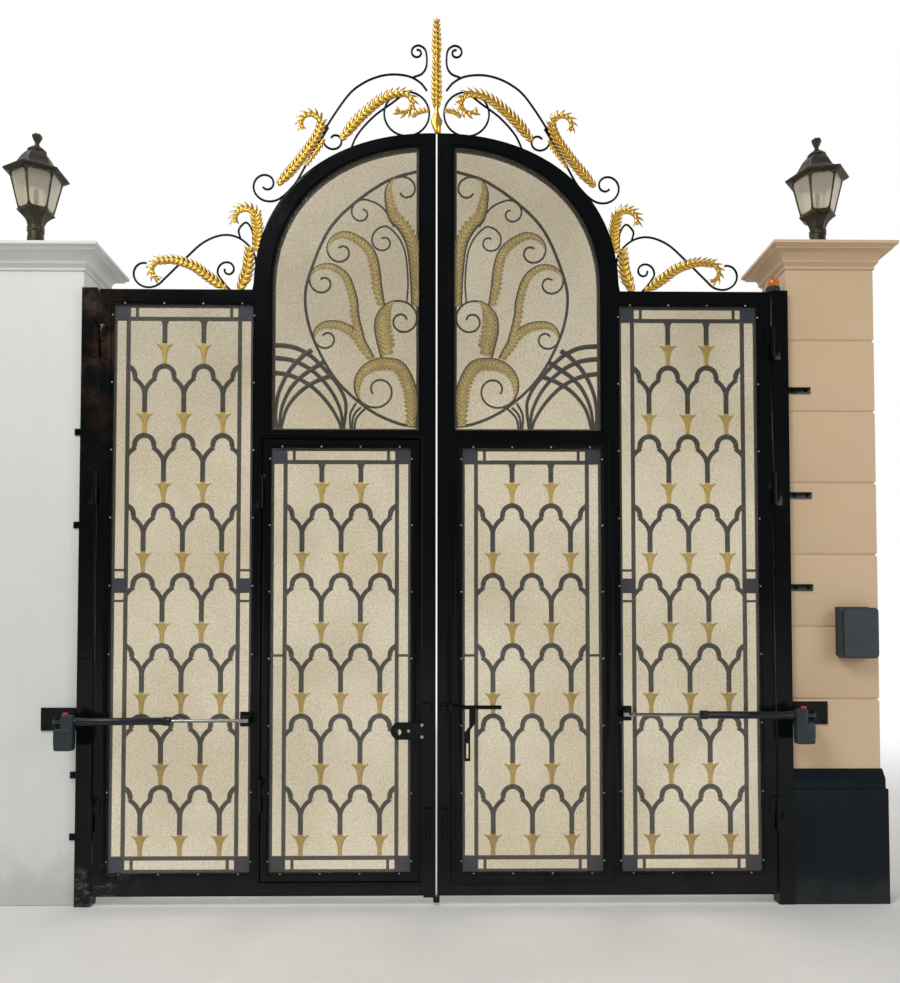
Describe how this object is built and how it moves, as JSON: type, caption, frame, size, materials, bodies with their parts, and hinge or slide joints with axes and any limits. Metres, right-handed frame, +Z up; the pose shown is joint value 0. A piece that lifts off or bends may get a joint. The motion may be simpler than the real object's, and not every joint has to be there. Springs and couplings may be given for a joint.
{
  "type": "wrought iron driveway gate",
  "caption": "Double-leaf wrought iron driveway gate with an arched crest, textured glass behind scrollwork, a wicket door, ram openers and two rendered piers with lanterns",
  "frame": {"origin": "the middle of the left pier's foot, on the ground, as seen from the driveway", "axes": "+X along the gate towards the right pier, +Y through the gate towards the street, +Z up"},
  "size_m": [5.246, 0.6143, 4.8988],
  "materials": {
    "white_render": "smooth white painted render",
    "cream_render": "smooth cream painted render",
    "dark_plinth": "dark blue-black painted plinth",
    "black_steel": "gloss black paint over welded steel",
    "grille_steel": "satin dark grey paint",
    "gold_paint": "brushed-on gold paint",
    "textured_glass": "pebbled obscure glass",
    "lantern_bronze": "dark bronze paint",
    "frosted_pane": "frosted lantern glass",
    "beacon_lens": "amber ribbed lens",
    "ram_grey": "dark grey anodised housing",
    "bright_rod": "bright rod",
    "box_plastic": "dark grey moulded plastic"
  },
  "bodies": {
    "posts": {"left_pier": "white_render", "right_pier": "cream_render", "left_cornice": "white_render", "right_cornice": "cream_render", "right_plinth": "dark_plinth", "left_jamb": "black_steel", "right_jamb": "black_steel", "left_ram_bracket": "black_steel", "right_ram_bracket": "black_steel", "warning_beacon": "beacon_lens", "control_box": "box_plastic", "left_lantern_frame": "lantern_bronze", "right_lantern_frame": "lantern_bronze", "left_lantern_panes": "frosted_pane", "right_lantern_panes": "frosted_pane"},
    "left_leaf": {"left_leaf_frame": "black_steel", "left_side_grille": "grille_steel", "left_side_capitals": "gold_paint", "left_side_glass": "textured_glass", "left_arch_scrolls": "grille_steel", "left_arch_plumes": "gold_paint", "left_arch_glass": "textured_glass", "left_crest_scrolls": "black_steel", "left_crest_leaves": "gold_paint", "left_leaf_bracket": "black_steel", "left_stile_fittings": "black_steel"},
    "right_leaf": {"right_leaf_frame": "black_steel", "right_side_grille": "grille_steel", "right_side_capitals": "gold_paint", "right_side_glass": "textured_glass", "right_arch_scrolls": "grille_steel", "right_arch_plumes": "gold_paint", "right_arch_glass": "textured_glass", "right_crest_scrolls": "black_steel", "right_crest_leaves": "gold_paint", "crest_finial": "gold_paint", "right_leaf_bracket": "black_steel", "right_stile_fittings": "black_steel", "right_panel_frame": "black_steel", "right_panel_grille": "grille_steel", "right_panel_capitals": "gold_paint", "right_panel_glass": "textured_glass"},
    "wicket_door": {"wicket_frame": "black_steel", "wicket_grille": "grille_steel", "wicket_capitals": "gold_paint", "wicket_glass": "textured_glass", "wicket_latch_plate": "black_steel"},
    "left_ram_body": {"left_ram_tube": "ram_grey", "left_ram_motor": "ram_grey"},
    "left_ram_piston": {"left_ram_rod": "bright_rod"},
    "right_ram_body": {"right_ram_tube": "ram_grey", "right_ram_motor": "ram_grey"},
    "right_ram_piston": {"right_ram_rod": "bright_rod"},
    "bolt": {"slide_bolt": "black_steel"}
  },
  "joints": [
    {"name": "left_leaf_hinge", "type": "hinge", "parent": "posts", "child": "left_leaf", "pos_m": [0.434, -0.202, 0], "axis": [0, 0, -1], "range_deg": [0, 90]},
    {"name": "right_leaf_hinge", "type": "hinge", "parent": "posts", "child": "right_leaf", "pos_m": [4.126, -0.202, 0], "axis": [0, 0, 1], "range_deg": [0, 90]},
    {"name": "wicket_hinge", "type": "hinge", "parent": "left_leaf", "child": "wicket_door", "pos_m": [1.3305, -0.202, 0], "axis": [0, 0, -1], "range_deg": [0, 90]},
    {"name": "left_ram_swivel", "type": "hinge", "parent": "posts", "child": "left_ram_body", "pos_m": [0.294, -0.322, 1], "axis": [0, 0, -1], "range_deg": [0, 88]},
    {"name": "left_ram_stroke", "type": "slide", "parent": "left_ram_body", "child": "left_ram_piston", "axis": [0.9987, 0.0512, 0], "range_m": [-0.26, 0]},
    {"name": "right_ram_swivel", "type": "hinge", "parent": "posts", "child": "right_ram_body", "pos_m": [4.266, -0.322, 1.03], "axis": [0, 0, 1], "range_deg": [0, 88]},
    {"name": "right_ram_stroke", "type": "slide", "parent": "right_ram_body", "child": "right_ram_piston", "axis": [-0.9987, 0.0512, 0], "range_m": [-0.26, 0]},
    {"name": "bolt_slide", "type": "slide", "parent": "right_leaf", "child": "bolt", "axis": [-1, 0, 0], "range_m": [0, 0.085]}
  ],
  "couplings": [
    {"joint": "left_ram_swivel", "follows": "left_leaf_hinge", "ratio": 0.9705},
    {"joint": "left_ram_stroke", "follows": "left_leaf_hinge", "m_per_rad": -0.1642},
    {"joint": "right_ram_swivel", "follows": "right_leaf_hinge", "ratio": 0.9705},
    {"joint": "right_ram_stroke", "follows": "right_leaf_hinge", "m_per_rad": -0.1642}
  ]
}
